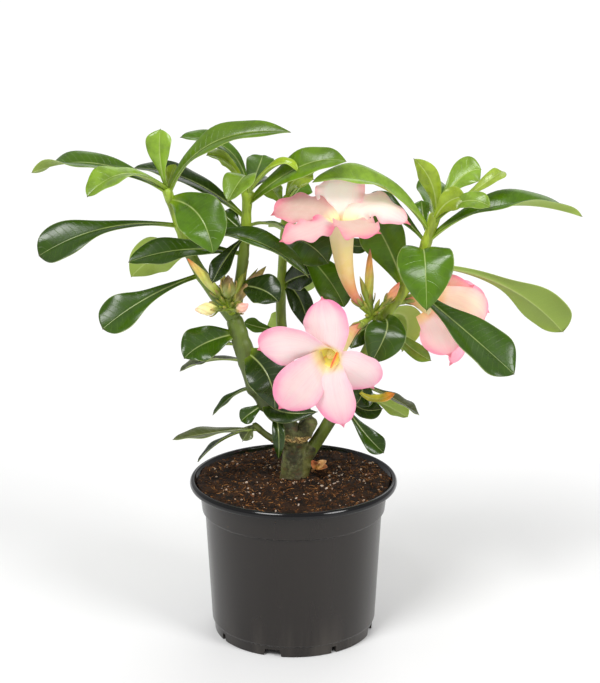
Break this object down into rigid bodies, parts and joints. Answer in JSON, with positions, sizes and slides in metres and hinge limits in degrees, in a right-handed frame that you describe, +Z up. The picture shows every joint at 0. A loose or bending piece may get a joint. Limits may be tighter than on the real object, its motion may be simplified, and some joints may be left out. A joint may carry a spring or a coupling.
{
  "type": "potted desert rose adenium",
  "caption": "Potted desert rose in flower: a short caudex with leafy stems, pink five-petalled blooms and buds, in soil in a round black nursery pot.",
  "frame": {"origin": "centre of the pot's underside, on the surface that it stands on", "axes": "+Z up along the pot's axis, -Y towards the side that shows most blooms, +X to the right seen from there"},
  "size_m": [0.3255, 0.1546, 0.3248],
  "materials": {
    "pot_plastic": "charcoal injection-moulded polypropylene, satin body and glossy rim",
    "potting_soil": "dark brown peaty potting mix with fibres and white perlite",
    "caudex_bark": "grey-green smooth bark with a pale ringed scar",
    "foliage": "thick leathery leaves, glossy dark green above and pale green beneath, on green stems",
    "petals": "soft satin petals, cream pink with rose margins and a yellow-green throat",
    "buds": "twisted buds from green to yellow, orange and pink",
    "withered": "dry yellow and orange withered shoot"
  },
  "bodies": {
    "root": {"pot": "pot_plastic", "soil": "potting_soil", "trunk": "caudex_bark", "stem_main": "foliage", "stem_left": "foliage", "stem_middle": "foliage", "stem_back": "foliage", "stem_right": "foliage", "sprig": "foliage", "shoot_withered": "withered", "bloom_front": "petals", "bloom_upright": "petals", "bloom_right": "petals", "bud_right_long": "buds", "bud_right_peach": "buds", "bud_left_long": "buds", "bud_left_fat": "buds", "bud_left_pink": "buds", "bud_left_dried": "buds"}
  },
  "joints": []
}
